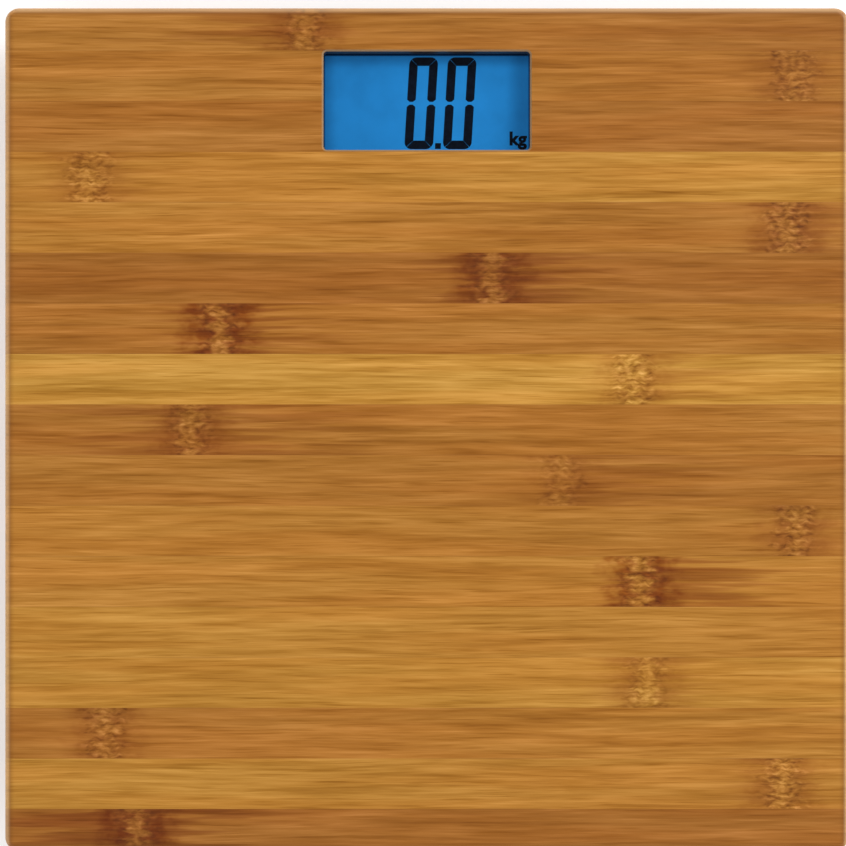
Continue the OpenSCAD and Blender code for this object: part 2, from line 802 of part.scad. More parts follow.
// Upside-down cup that is screwed into the board: ceiling, skirt with a lip that the foot's hooks
// catch on, four posts and two clips that hold the load cell
module sensor_bracket() {
    inner_r = bracket_r - skirt_wall;
    cup = [
        [0, ceiling_low], [inner_r, ceiling_low], [inner_r, skirt_low + lip_t], [lip_r, skirt_low + lip_t],
        [lip_r, skirt_low], [bracket_r - 0.8, skirt_low], [bracket_r, skirt_low + 0.8],
        [bracket_r, pod_pocket_top], [0, pod_pocket_top]
    ];
    post_at = 13.6;
    post_r = 2.6;
    clip_x = cell_side / 2 + 0.3;
    hook_top = cell_plate_low - 0.1;
    color("#2b2b2d") difference() {
        union() {
            rotate_extrude() polygon(cup);
            for (sx = [-1, 1], sy = [-1, 1])
                post(sx * post_at, sy * post_at, post_r, cell_plate_top, ceiling_low + 0.5);
            for (sx = [-1, 1]) {
                translate([sx * (clip_x + 0.7), 0, 0]) block(1.4, 8, hook_top - 0.8, ceiling_low + 0.5);
                translate([sx * (clip_x - 0.3), 0, 0]) block(2, 8, hook_top - 0.8, hook_top);
            }
        }
        bracket_screw_places() post(0, 0, wood_screw_r + 0.25, ceiling_low - 1, pod_pocket_top + 1);
        translate([-groove_w / 2, -bracket_r - 1, board_z - 0.4])
            cube([groove_w, skirt_wall + 2, lead_z + 1.4 - board_z]);
    }
}

module bracket_screws() {
    color("silver") for (f = feet) at_foot(f[0]) bracket_screw_places()
        screw(0, 0, bracket_screw_head_low, ceiling_low, wood_screw_r, wood_head_r, bracket_screw_tip);
}

// ---------------------------------------------------------------- leads

// Bends of one lead from the end of its groove over to the circuit board. slot is -1, 0 or 1, for
// the three leads side by side.
function lead_bends(f, slot) =
    let (d = groove_dir(f), side = f[1], low = frame_low + lead_r + 0.05, step = slot * lead_pitch,
        b = groove_end(f) + [-d[1], d[0]] * step, x = side * 36.4 - step, x_board = side * 43.5 - step)
    f[2] > 0
        ? [[b[0] + side * 5, b[1], lead_z], [b[0], b[1], lead_z], [side * 50.4, b[1], lead_z],
            [side * 47.8, b[1], lead_z - 0.4], [side * 45, b[1], low + 0.4], [side * 43, b[1], low]]
        : [[b[0] - 7 * d[0], b[1] - 7 * d[1], lead_z], [b[0], b[1], lead_z], [x, 67, lead_z],
            [x + side * 0.8, 76, lead_z - 0.2], [x + side * 4, 84, lead_z - 0.8],
            [x_board - side * 0.4, 91, low + 0.2], [x_board, 96, low]];

// Route of one lead: straight from the gauge along the groove, then its bends
function lead_route(f, slot) =
    let (d = groove_dir(f), a = groove_start(f) + d * gauge_end + [-d[1], d[0]] * slot * lead_pitch)
    concat([[a[0], a[1], lead_z]], smooth_route(lead_bends(f, slot), 4));

module load_cell_leads(name) {
    f = foot_named(name);
    color("firebrick") for (slot = [-1:1]) tube(lead_route(f, slot), lead_r);
}

// Hot-melt dabs across the grooves, each with the three leads through it
module glue_dab(f, reach) {
    from = groove_start(f);
    low = board_z + 0.3;
    dab_len = 5;
    translate([from[0], from[1], 0]) rotate([0, 0, unit_turn(f)]) translate([0, -reach, 0]) difference() {
        translate([-groove_w / 2 + 0.1, -dab_len / 2, low])
            cube([groove_w - 0.2, dab_len, groove_top - low]);
        for (slot = [-1:1]) translate([slot * lead_pitch, 0, lead_z]) rotate([90, 0, 0])
            cylinder(r = lead_r + 0.02, h = 10, center = true);
    }
}

module glue_dabs() {
    color("ivory") for (f = feet) {
        span = norm(groove_end(f) - groove_start(f));
        count = f[2] > 0 ? 1 : 3;
        for (k = [1:count]) glue_dab(f, bracket_r + (span - bracket_r) * k / (count + 1));
    }
}

// ---------------------------------------------------------------- assembly

bamboo_platform();
display_lens();
lens_gasket();
front_polariser();
lcd_front_glass();
lcd_rear_glass();
rear_polariser();
diffuser_film();
light_guide();
reflector_film();
led_board();
backlight_leds();
lcd_frame();
zebra_strip();
main_pcb();
chip_blob();
smd_parts();
upper_housing();
bottom_cover();
battery_door();
battery_a();
battery_b();
link_plate();
terminal_plates();
battery_springs();
battery_lead_red();
battery_lead_black();
unit_button();
button_pill();
button_web();
pcb_screws();
housing_screws();
cover_screws();
at_foot("fl") foot_pad();  // foot_pad_fl
at_foot("fr") foot_pad();  // foot_pad_fr
at_foot("rl") foot_pad();  // foot_pad_rl
at_foot("rr") foot_pad();  // foot_pad_rr
at_foot("fl") foot_cup();  // foot_cup_fl
at_foot("fr") foot_cup();  // foot_cup_fr
at_foot("rl") foot_cup();  // foot_cup_rl
at_foot("rr") foot_cup();  // foot_cup_rr
at_foot("fl") load_cell();  // load_cell_fl
at_foot("fr") load_cell();  // load_cell_fr
at_foot("rl") load_cell();  // load_cell_rl
at_foot("rr") load_cell();  // load_cell_rr
at_foot("fl") gauge_cover();  // gauge_cover_fl
at_foot("fr") gauge_cover();  // gauge_cover_fr
at_foot("rl") gauge_cover();  // gauge_cover_rl
at_foot("rr") gauge_cover();  // gauge_cover_rr
at_foot("fl") sensor_bracket();  // sensor_bracket_fl
at_foot("fr") sensor_bracket();  // sensor_bracket_fr
at_foot("rl") sensor_bracket();  // sensor_bracket_rl
at_foot("rr") sensor_bracket();  // sensor_bracket_rr
load_cell_leads("fl");  // load_cell_leads_fl
load_cell_leads("fr");  // load_cell_leads_fr
load_cell_leads("rl");  // load_cell_leads_rl
load_cell_leads("rr");  // load_cell_leads_rr
bracket_screws();
glue_dabs();
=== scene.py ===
"""Looks of the bamboo bathroom scale: materials, the lit display, light, floor and camera.

Everything is in metres in the part's own frame: +Z up, +Y towards the display edge. Places come from
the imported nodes. Patterns are written in millimetres, because grain is easier to think of that way.
"""

import json
import math
from collections import namedtuple

import bmesh
import bpy
from mathutils import Matrix, Vector


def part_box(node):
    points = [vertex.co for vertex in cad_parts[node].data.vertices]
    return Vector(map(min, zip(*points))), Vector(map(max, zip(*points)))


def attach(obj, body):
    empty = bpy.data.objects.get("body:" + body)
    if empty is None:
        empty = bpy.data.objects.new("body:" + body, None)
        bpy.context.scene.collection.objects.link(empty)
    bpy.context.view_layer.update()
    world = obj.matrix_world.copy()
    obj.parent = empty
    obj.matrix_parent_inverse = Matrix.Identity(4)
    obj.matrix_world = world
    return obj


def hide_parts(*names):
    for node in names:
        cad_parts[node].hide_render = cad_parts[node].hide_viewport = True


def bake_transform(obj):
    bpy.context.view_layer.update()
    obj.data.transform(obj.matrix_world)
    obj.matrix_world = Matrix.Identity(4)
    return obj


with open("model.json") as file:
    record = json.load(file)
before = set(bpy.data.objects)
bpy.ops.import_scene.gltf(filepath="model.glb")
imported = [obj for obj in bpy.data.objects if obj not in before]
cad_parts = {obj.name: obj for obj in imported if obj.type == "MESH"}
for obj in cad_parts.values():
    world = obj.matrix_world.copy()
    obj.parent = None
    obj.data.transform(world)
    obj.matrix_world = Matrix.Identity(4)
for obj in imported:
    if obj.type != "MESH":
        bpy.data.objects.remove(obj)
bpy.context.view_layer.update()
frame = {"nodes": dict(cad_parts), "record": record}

MM = 0.001
NODES = frame["nodes"]


def linear(red, green, blue):
    """Scene-linear colour of a display colour that is given from 0 to 255."""
    shares = (red / 255, green / 255, blue / 255)
    return tuple(s / 12.92 if s <= 0.04045 else ((s + 0.055) / 1.055) ** 2.4 for s in shares)


# ------------------------------------------------------------------ node graphs


class Graph:
    """A material's node tree, with one short call for each kind of node."""

    def __init__(self, name):
        self.material = bpy.data.materials.new(name)
        self.material.use_nodes = True
        self.tree = self.material.node_tree
        self.shader = self.tree.nodes["Principled BSDF"]
        self.output = self.tree.nodes["Material Output"]

    def add(self, kind, **settings):
        node = self.tree.nodes.new("ShaderNode" + kind)
        for key, value in settings.items():
            setattr(node, key, value)
        return node

    def feed(self, value, socket):
        """Links a socket to another one, or sets it to a plain value."""
        if isinstance(value, bpy.types.NodeSocket):
            self.tree.links.new(value, socket)
        elif isinstance(value, tuple) and socket.type == "RGBA":
            socket.default_value = (*value[:3], 1.0)
        else:
            socket.default_value = value

    def math(self, operation, a, b=0.0, c=0.0, clamp=False):
        node = self.add("Math", operation=operation, use_clamp=clamp)
        for value, socket in zip((a, b, c), node.inputs):
            self.feed(value, socket)
        return node.outputs[0]

    def mul(self, a, b):
        return self.math("MULTIPLY", a, b)

    def plus(self, a, b):
        return self.math("ADD", a, b)

    def minus(self, a, b):
        return self.math("SUBTRACT", a, b)

    def larger(self, a, b):
        return self.math("MAXIMUM", a, b)

    def size(self, a):
        return self.math("ABSOLUTE", a)

    def around_half(self, value, weight):
        """A noise value made to swing about zero, and weighted."""
        return self.mul(self.minus(value, 0.5), weight)

    def smooth(self, value, start, end, low=0.0, high=1.0):
        """low before start, high after end, with a smooth step between them."""
        node = self.add("MapRange", interpolation_type="SMOOTHSTEP")
        for part, socket in zip((value, start, end, low, high), node.inputs):
            self.feed(part, socket)
        return node.outputs[0]

    def mix(self, factor, a, b, blend="MIX"):
        node = self.add("Mix", data_type="RGBA", blend_type=blend)
        for value, socket in zip((factor, a, b), (node.inputs[0], node.inputs[6], node.inputs[7])):
            self.feed(value, socket)
        return node.outputs[2]

    def times(self, colour, tint):
        """A colour multiplied by another one, channel by channel."""
        return self.mix(1.0, colour, tint, "MULTIPLY")

    def combine(self, x, y, z):
        node = self.add("CombineXYZ")
        for value, socket in zip((x, y, z), node.inputs):
            self.feed(value, socket)
        return node.outputs[0]

    def grey(self, value):
        return self.combine(value, value, value)

    def split(self, vector):
        node = self.add("SeparateXYZ")
        self.feed(vector, node.inputs[0])
        return node.outputs[0], node.outputs[1], node.outputs[2]

    def split_colour(self, colour):
        node = self.add("SeparateColor")
        self.feed(colour, node.inputs[0])
        return node.outputs[0], node.outputs[1], node.outputs[2]

    def place_mm(self):
        """The surface point in millimetres, in the part's frame at rest."""
        scale = self.add("VectorMath", operation="SCALE")
        self.feed(self.add("TexCoord").outputs["Object"], scale.inputs[0])
        scale.inputs["Scale"].default_value = 1 / MM
        return scale.outputs[0]

    def noise(self, vector, scale=1.0, detail=2.0, roughness=0.5):
        node = self.add("TexNoise")
        self.feed(vector, node.inputs["Vector"])
        node.inputs["Scale"].default_value = scale
        node.inputs["Detail"].default_value = detail
        node.inputs["Roughness"].default_value = roughness
        return node.outputs[0]

    def ramp(self, value, stops):
        """Steps of colour along value; stops is a list of (position, colour)."""
        node = self.add("ValToRGB")
        node.color_ramp.interpolation = "CONSTANT"
        elements = node.color_ramp.elements
        while len(elements) < len(stops):
            elements.new(1.0)
        for element, (position, colour) in zip(elements, stops):
            element.position = position
            element.color = (*colour[:3], 1.0)
        self.feed(value, node.inputs[0])
        return node.outputs[0]

    def bump(self, height, depth_mm, strength=1.0):
        node = self.add("Bump")
        node.inputs["Distance"].default_value = depth_mm * MM
        node.inputs["Strength"].default_value = strength
        self.feed(height, node.inputs["Height"])
        return node.outputs[0]

    def finish(self, colour=None, roughness=None, normal=None, **constants):
        """Feeds the shader; constants are sockets by name, with _ for a space."""
        for value, name in ((colour, "Base Color"), (roughness, "Roughness"), (normal, "Normal")):
            if value is not None:
                self.feed(value, self.shader.inputs[name])
        for name, value in constants.items():
            self.feed(value, self.shader.inputs[name.replace("_", " ")])
        return self.material


# ------------------------------------------------------------------ bamboo

BOARD_LOW, BOARD_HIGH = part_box("bamboo_platform")
BOARD_TOP = BOARD_HIGH.z / MM
HALF_SIDE = (BOARD_HIGH.x - BOARD_LOW.x) / 2 / MM
STRIP_COUNT = 17
STRIP_W = 17.95

# The board's plies, and how far each is shifted from the one above: along X in mm, and along Y as a
# share of the board
PLY_COUNT = 3
PLY_T = 5.0
PLY_SHIFT_X = 41.0
PLY_SHIFT_Y = 0.31

# The window over the display, and how far its chamfered rim reaches outwards
FIELD_LOW, FIELD_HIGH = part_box("front_polariser")
WINDOW_Y = (FIELD_LOW.y + FIELD_HIGH.y) / 2 / MM
WINDOW_W = 73.4
WINDOW_D = 35.0
WINDOW_RIM = 0.65

# Tones of bamboo, from the palest strip to the darkest
PALE = linear(198, 144, 60)
STRAW = linear(190, 134, 53)
HONEY = linear(184, 125, 49)
AMBER = linear(176, 117, 46)
GINGER = linear(171, 111, 43)
RUSSET = linear(163, 103, 39)

# Tints that the wood is multiplied by, and tones that lie over it
ROSY_TINT = linear(255, 247, 238)
STAIN_TINT = linear(206, 178, 156)
BURNT_TINT = linear(204, 168, 114)
GLUE_TONE = linear(120, 72, 28)
# painted highlight on the board's rounded upper edge
EDGE_HIGHLIGHT_TONE = linear(240, 204, 154)
# painted highlight on the window's chamfered rim
RIM_HIGHLIGHT_TONE = linear(160, 138, 106)
# painted shade: near black on the window's wall, deep in its recess
WALL_SHADE_BLACK = linear(12, 12, 14)

# A strip of the top ply: the tones of its left and right end, the place of its knuckle along X in mm,
# how crumpled the knuckle is, how dark the stain beside it is, and how far that stain runs in mm
Strip = namedtuple("Strip", "left right knuckle crumple stain runs_left runs_right")
RUN_MAX = 100.0

# From the display edge to the front edge
STRIPS = (
    Strip(AMBER, RUSSET, -43, 0.8, 0.6, 56, 16),
    Strip(AMBER, GINGER, 130, 0.9, 0.3, 12, 12),
    Strip(GINGER, RUSSET, 0, 0.0, 0.0, 10, 10),
    Strip(HONEY, STRAW, -120, 0.9, 0.3, 14, 24),
    Strip(HONEY, GINGER, 128, 1.0, 0.6, 14, 24),
    Strip(RUSSET, RUSSET, 23, 0.7, 0.9, 24, 40),
    Strip(GINGER, AMBER, -74, 0.9, 1.0, 20, 36),
    Strip(PALE, PALE, 73, 0.9, 0.5, 4, 40),
    Strip(GINGER, AMBER, -84, 0.8, 0.65, 48, 60),
    Strip(AMBER, GINGER, 48, 0.6, 0.4, 6, 60),
    Strip(HONEY, AMBER, 131, 0.9, 0.5, 12, 12),
    Strip(HONEY, HONEY, 76, 0.9, 1.0, 12, 50),
    Strip(STRAW, HONEY, 0, 0.0, 0.0, 10, 10),
    Strip(STRAW, STRAW, 78, 0.7, 0.5, 20, 20),
    Strip(GINGER, HONEY, -114, 0.9, 0.5, 10, 10),
    Strip(STRAW, HONEY, 126, 1.0, 0.5, 20, 12),
    Strip(RUSSET, RUSSET, -103, 0.8, 1.0, 56, 48),
)

# Layers of grain, from hair lines to broad bands: length and width of a line in mm, a shift that keeps
# the layers apart, the noise's roughness, and how much the layer lightens and darkens the wood
GRAIN_LAYERS = (
    (15.0, 0.45, 0.0, 0.60, 0.30),
    (24.0, 1.05, 51.0, 0.55, 0.62),
    (46.0, 2.3, 11.0, 0.55, 0.78),
    (100.0, 6.5, 23.0, 0.50, 0.50),
)


class Bamboo:
    """The board's wood, in plies of glued strips. Each method adds one thing that is seen on it."""

    def __init__(self):
        g = self.g = Graph("bamboo")
        self.board_x, self.y, self.z = g.split(g.place_mm())

        # which ply, and which strip of it: lower plies are the same strips, shifted
        self.depth = g.math("DIVIDE", g.minus(BOARD_TOP + 0.01, self.z), PLY_T)
        self.ply = g.math("MINIMUM", g.math("FLOOR", self.depth), PLY_COUNT - 1.0)
        across = g.math("DIVIDE", g.minus(STRIP_COUNT * STRIP_W / 2, self.y), STRIP_COUNT * STRIP_W)
        shifted = g.math("FRACT", g.plus(across, g.mul(self.ply, PLY_SHIFT_Y)))
        self.strips_in = g.mul(shifted, float(STRIP_COUNT))
        self.strip = g.math("FLOOR", self.strips_in)
        self.strip_share = g.math("DIVIDE", g.plus(self.strip, 0.5), float(STRIP_COUNT))
        self.x = g.plus(self.board_x, g.mul(self.ply, PLY_SHIFT_X))

        # each strip has its own run of grain
        self.row = g.plus(self.y, g.mul(self.strip, 37.0))
        self.outermost = g.larger(g.size(self.board_x), g.size(self.y))
        self.find_knuckle()
        self.bend_grain()

    def by_strip(self, pick):
        """A colour that is the same all over a strip."""
        stops = [(i / STRIP_COUNT, pick(strip)) for i, strip in enumerate(STRIPS)]
        return self.g.ramp(self.strip_share, stops)

    def mottle(self, along, across, detail=2.0, roughness=0.5):
        """Cloudy noise with this many changes per mm along the strip and across it."""
        g = self.g
        place = g.combine(g.mul(self.x, along), g.mul(self.row, across), self.z)
        return g.noise(place, 1.0, detail, roughness)

    def grain(self, length, width, shift, roughness=0.5, detail=2.0, bent=True):
        """Noise in lines of this length and width in mm."""
        g = self.g
        row = g.plus(self.row, shift)
        if bent:
            row = g.plus(row, self.warp)
        place = g.combine(
            g.math("DIVIDE", self.x, length), g.math("DIVIDE", row, width), g.math("DIVIDE", self.z, width)
        )
        return g.noise(place, 1.0, detail, roughness)

    def find_knuckle(self):
        """The distance to the strip's knuckle, and its core, where fibres crumple into wavy dashes."""
        g = self.g
        knuckle = self.by_strip(lambda s: ((s.knuckle + HALF_SIDE) / (2 * HALF_SIDE), s.crumple, s.stain))
        place, self.crumple, self.stain = g.split_colour(knuckle)
        from_knuckle = g.minus(self.x, g.minus(g.mul(place, 2 * HALF_SIDE), HALF_SIDE))
        self.distance = g.size(from_knuckle)
        self.is_right = g.math("GREATER_THAN", from_knuckle, 0.0)
        self.to_core = g.plus(self.distance, g.around_half(self.mottle(0.12, 0.4), 16.0))
        self.core = g.mul(self.crumple, g.smooth(self.to_core, 4.0, 10.0, 1.0, 0.0))
        self.wave = g.around_half(self.mottle(0.30, 0.20, 1.0), 2.4)
        waved = g.mul(g.plus(self.row, self.wave), 0.78)
        self.dash = g.noise(g.combine(g.mul(self.x, 0.36), waved, g.mul(self.z, 0.78)))

    def bend_grain(self):
        """Grain lines wander a little, and more beside a knuckle."""
        g = self.g
        drift = g.noise(g.combine(g.mul(self.x, 0.010), g.mul(self.row, 0.05), 0.0), 1.0, 1.0)
        near = g.smooth(self.distance, 8.0, 18.0, 0.4, 0.0)
        self.warp = g.plus(g.around_half(drift, 3.0), g.mul(g.mul(self.wave, near), self.crumple))

    def fibre_light(self):
        """How light the fibres are, around 1: layers of grain, thin dark lines and fewer pale ones."""
        g = self.g
        layers = [self.grain(length, width, shift, rough) for length, width, shift, rough, _ in GRAIN_LAYERS]
        self.fine = layers[0]
        light = 1.02
        for layer, (*_, weight) in zip(layers, GRAIN_LAYERS):
            light = g.plus(light, g.around_half(layer, weight))
        dark_line = g.smooth(self.grain(24.0, 0.75, 77.0), 0.57, 0.70)
        light = g.mul(light, g.minus(1.0, g.mul(dark_line, 0.19)))
        pale_line = g.smooth(self.grain(18.0, 0.65, 91.0), 0.60, 0.74)
        light = g.mul(light, g.plus(1.0, g.mul(pale_line, 0.11)))
        dashes = g.mul(self.core, g.mul(g.minus(self.dash, 0.54), 2.1))
        light = g.mul(light, g.plus(1.0, dashes))
        return g.math("MINIMUM", g.larger(light, 0.4), 1.7)

    def fibres(self):
        """The strips' tones with the grain on them, and here and there a rosy cast."""
        g = self.g
        left_tone = self.by_strip(lambda s: s.left)
        right_tone = self.by_strip(lambda s: s.right)
        tone = g.mix(g.smooth(self.x, -HALF_SIDE, HALF_SIDE), left_tone, right_tone)
        # dark fibres are browner and pale ones greyer, so blue swings most and red least
        light = self.fibre_light()
        shade = g.combine(light, g.math("POWER", light, 1.3), g.math("POWER", light, 2.5))
        base = g.times(tone, shade)
        rosy = g.smooth(self.grain(120.0, 9.0, 171.0, detail=1.0, bent=False), 0.35, 0.65)
        return g.mix(rosy, base, g.times(base, ROSY_TINT))

    def stained(self, base):
        """The stain beside a knuckle, which runs out along the fibres in tongues."""
        g = self.g
        runs = self.by_strip(lambda s: (s.runs_left / RUN_MAX, s.runs_right / RUN_MAX, 0.0))
        left, right, _ = g.split_colour(runs)
        run = g.mul(g.plus(left, g.mul(self.is_right, g.minus(right, left))), RUN_MAX)
        tongue = self.grain(50.0, 2.6, 133.0)
        run_here = g.mul(run, g.smooth(tongue, 0.36, 0.62, 0.2, 1.5))
        fade = g.smooth(self.distance, g.mul(run_here, 0.15), g.plus(run_here, 3.0), 1.0, 0.0)
        heart = g.smooth(self.to_core, 0.5, 4.5, 0.25, 1.0)
        patch = g.mul(g.mul(g.mul(self.stain, fade), heart), g.plus(0.8, g.minus(tongue, 0.5)))
        return g.mix(g.math("MULTIPLY", patch, 1.0, clamp=True), base, g.times(base, STAIN_TINT))

    def burnt(self, base):
        """The wood is darkest close to the knuckle, on both sides of its pale middle."""
        g = self.g
        blot = self.mottle(0.16, 0.22, 2.0, 0.6)
        flank = g.mul(g.smooth(self.to_core, 0.5, 5.5), g.smooth(self.to_core, 8.0, 18.0, 1.0, 0.0))
        burn = g.mul(flank, g.smooth(blot, 0.34, 0.62, 0.35, 1.0))
        strength = g.plus(g.mul(self.crumple, 0.22), g.mul(g.mul(self.stain, self.stain), 0.8))
        return g.mix(g.mul(burn, strength), base, g.times(base, BURNT_TINT))

    def glued(self, base):
        """Fine glue lines between strips, stronger in some places, and between plies on the sides."""
        g = self.g
        strip_edge = g.mul(g.math("PINGPONG", self.strips_in, 0.5), STRIP_W)
        patchy = g.noise(g.combine(g.mul(self.x, 0.02), self.strip, self.ply), 1.0, 1.0)
        broken = g.smooth(patchy, 0.40, 0.62, 0.0, 0.24)
        strip_line = g.mul(g.smooth(strip_edge, 0.08, 0.40, 1.0, 0.0), broken)
        ply_edge = g.mul(g.math("PINGPONG", self.depth, 0.5), PLY_T)
        on_side = g.smooth(self.outermost, HALF_SIDE - 4.0, HALF_SIDE - 1.0)
        above_bottom = g.smooth(self.depth, PLY_COUNT - 0.10, PLY_COUNT - 0.06, 1.0, 0.0)
        ply_line = g.mul(g.mul(g.smooth(ply_edge, 0.05, 0.22, 1.0, 0.0), 0.6), g.mul(on_side, above_bottom))
        self.glue = g.larger(strip_line, ply_line)
        return g.mix(self.glue, base, GLUE_TONE)

    def edge_highlight(self, base):
        """Painted highlight: the board's rounded upper edge is made paler, for the light that it catches."""
        g = self.g
        near_edge = g.smooth(self.outermost, HALF_SIDE - 2.4, HALF_SIDE - 0.9)
        near_top = g.smooth(self.z, BOARD_TOP - 2.4, BOARD_TOP - 1.4)
        # painted highlight, strongest on the upper edge's round-over
        return g.mix(g.mul(g.mul(near_edge, near_top), 0.36), base, EDGE_HIGHLIGHT_TONE)

    def window_shade_and_highlight(self, base):
        """Painted shade and highlight in the window: its wall is near black for the shade in the recess, and
        its chamfered rim paler for the light that it catches.
        """
        g = self.g
        in_x = g.math("LESS_THAN", g.size(self.board_x), WINDOW_W / 2 + WINDOW_RIM)
        in_y = g.math("LESS_THAN", g.size(g.minus(self.y, WINDOW_Y)), WINDOW_D / 2 + WINDOW_RIM)
        in_window = g.mul(in_x, in_y)
        # painted highlight: the chamfered rim is made paler
        rim = g.mul(in_window, g.smooth(self.z, BOARD_TOP - 0.05, BOARD_TOP - 0.01, 1.0, 0.0))
        base = g.mix(g.mul(rim, 0.6), base, RIM_HIGHLIGHT_TONE)
        # painted shade: the wall below the rim is darkened to near black
        wall = g.mul(in_window, g.smooth(self.z, BOARD_TOP - 0.72, BOARD_TOP - 0.6, 1.0, 0.0))
        return g.mix(g.mul(wall, 0.96), base, WALL_SHADE_BLACK)

    def lacquered(self, base):
        """Satin lacquer that sinks a little into the pores, the crumpled fibres and the glue lines."""
        g = self.g
        roughness = g.plus(g.plus(0.40, g.around_half(self.fine, 0.25)), g.mul(self.core, 0.06))
        height = g.plus(g.mul(self.fine, 0.6), g.mul(g.mul(self.core, self.dash), 0.9))
        height = g.minus(height, g.mul(self.glue, 0.8))
        return g.finish(base, roughness, g.bump(height, 0.06, 0.6), Specular_IOR_Level=0.3)


def bamboo():
    board = Bamboo()
    base = board.fibres()
    for layer in (board.stained, board.burnt, board.glued, board.edge_highlight, board.window_shade_and_highlight):
        base = layer(base)
    return board.lacquered(base)


# ------------------------------------------------------------------ plastics, rubber and metals


def moulded(name, colour, grain_mm=0.35, roughness=0.45, depth_mm=0.012, specular=0.4):
    """Moulded plastic with a fine spark-eroded grain and slight wear."""
    g = Graph(name)
    place = g.place_mm()
    speckle = g.noise(place, 1 / grain_mm, 2.0, 0.6)
    cloud = g.noise(place, 0.04, 3.0)
    base = g.times(colour, g.grey(g.smooth(cloud, 0.3, 0.7, 0.88, 1.14)))
    rough = g.plus(roughness, g.around_half(speckle, 0.16))
    rough = g.plus(rough, g.around_half(cloud, 0.12))
    return g.finish(base, rough, g.bump(speckle, depth_mm), Specular_IOR_Level=specular)


def rubber(name, colour, roughness=0.75):
    """Soft matte rubber with dust-fine mottling."""
    g = Graph(name)
    place = g.place_mm()
    mottle = g.noise(place, 0.5, 4.0, 0.6)
    skin = g.noise(place, 5.0)
    dusty = tuple(min(1.0, c * 1.8 + 0.01) for c in colour)
    base = g.mix(g.smooth(mottle, 0.35, 0.75, 0.0, 0.4), colour, dusty)
    rough = g.plus(roughness, g.around_half(skin, 0.2))
    return g.finish(base, rough, g.bump(skin, 0.02), Specular_IOR_Level=0.3)


def metal(name, colour, roughness=0.3):
    """Metal with fine draw marks along X and cloudy stains."""
    g = Graph(name)
    place = g.place_mm()
    x, y, z = g.split(place)
    marks = g.noise(g.combine(g.mul(x, 0.06), g.mul(y, 2.0), g.mul(z, 2.0)), 3.0, 3.0, 0.6)
    cloud = g.noise(place, 0.12, 3.0)
    dull = tuple(c * 0.72 for c in colour)
    base = g.mix(g.smooth(cloud, 0.4, 0.75, 0.0, 0.35), colour, dull)
    rough = g.plus(roughness, g.around_half(marks, 0.3))
    rough = g.plus(rough, g.around_half(cloud, 0.12))
    return g.finish(base, rough, g.bump(marks, 0.006), Metallic=1.0)


def insulation(name, colours):
    """Glossy wire insulation; each separate wire of the piece takes one of the colours."""
    g = Graph(name)
    island = g.add("NewGeometry").outputs["Random Per Island"]
    stops = [(i / len(colours), c) for i, c in enumerate(colours)]
    base = g.ramp(island, stops) if len(colours) > 1 else colours[0]
    scuff = g.noise(g.place_mm(), 1.2, 3.0, 0.6)
    base = g.times(base, g.grey(g.smooth(scuff, 0.3, 0.75, 1.05, 0.85)))
    return g.finish(base, g.plus(0.32, g.mul(scuff, 0.2)), g.bump(scuff, 0.01))


def circuit_board():
    """Solder mask with straight copper tracks showing through, turned from one cell to the next."""
    g = Graph("circuit_board")
    x, y, z = g.split(g.place_mm())
    cell = g.combine(g.math("FLOOR", g.mul(x, 0.25)), g.math("FLOOR", g.mul(y, 0.25)), 0.0)
    turned_over = g.math("GREATER_THAN", g.noise(cell, 1.7, 0.0), 0.5)
    along_y = g.math("PINGPONG", g.mul(x, 0.8), 0.5)
    along_x = g.math("PINGPONG", g.mul(y, 0.8), 0.5)
    line = g.plus(along_x, g.mul(turned_over, g.minus(along_y, along_x)))
    track = g.smooth(line, 0.16, 0.2, 1.0, 0.0)
    base = g.mix(track, linear(8, 84, 44), linear(28, 122, 60))
    dust = g.noise(g.combine(x, y, z), 1.5, 3.0)
    return g.finish(base, g.plus(0.28, g.mul(dust, 0.2)), g.bump(track, 0.02))


# The bright band round a cell, measured along X from its middle towards its nub
BAND_FROM = 9.0
BAND_TO = 20.5


def cell_jacket():
    """Plain battery jacket: dark wrap with one bright band near its nub end, and bare metal ends."""
    g = Graph("cell_jacket")
    x, y, z = g.split(g.place_mm())
    low_a, high_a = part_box("battery_a")
    high_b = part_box("battery_b")[1]
    # cell a points to +X and cell b to -X
    is_cell_b = g.math("GREATER_THAN", y, (low_a.y + high_b.y) / 2 / MM)
    along = g.mul(x, g.plus(1.0, g.mul(is_cell_b, -2.0)))
    band = g.mul(
        g.smooth(along, BAND_FROM, BAND_FROM + 0.3), g.smooth(along, BAND_TO, BAND_TO + 0.3, 1.0, 0.0)
    )
    nub_end = high_a.x / MM - 1.3
    flat_end = low_a.x / MM + 0.9
    bare = g.larger(g.smooth(along, nub_end, nub_end + 0.2), g.smooth(along, flat_end, flat_end - 0.3))
    base = g.mix(band, linear(38, 40, 46), linear(196, 122, 34))
    base = g.mix(bare, base, (0.6, 0.6, 0.6))
    scuff = g.noise(g.combine(g.mul(x, 0.2), y, z), 2.0, 3.0, 0.6)
    return g.finish(base, g.plus(0.22, g.mul(scuff, 0.22)), g.bump(scuff, 0.008), Metallic=bare)


def white_film(name, colour, glow):
    """Diffusing film or reflector: white, faintly cloudy, with a lit share."""
    g = Graph(name)
    cloud = g.noise(g.place_mm(), 0.3, 3.0)
    base = g.times(colour, g.grey(g.smooth(cloud, 0.3, 0.7, 0.94, 1.0)))
    rough = g.plus(0.5, g.mul(cloud, 0.2))
    return g.finish(base, rough, Emission_Color=linear(150, 200, 255), Emission_Strength=glow)


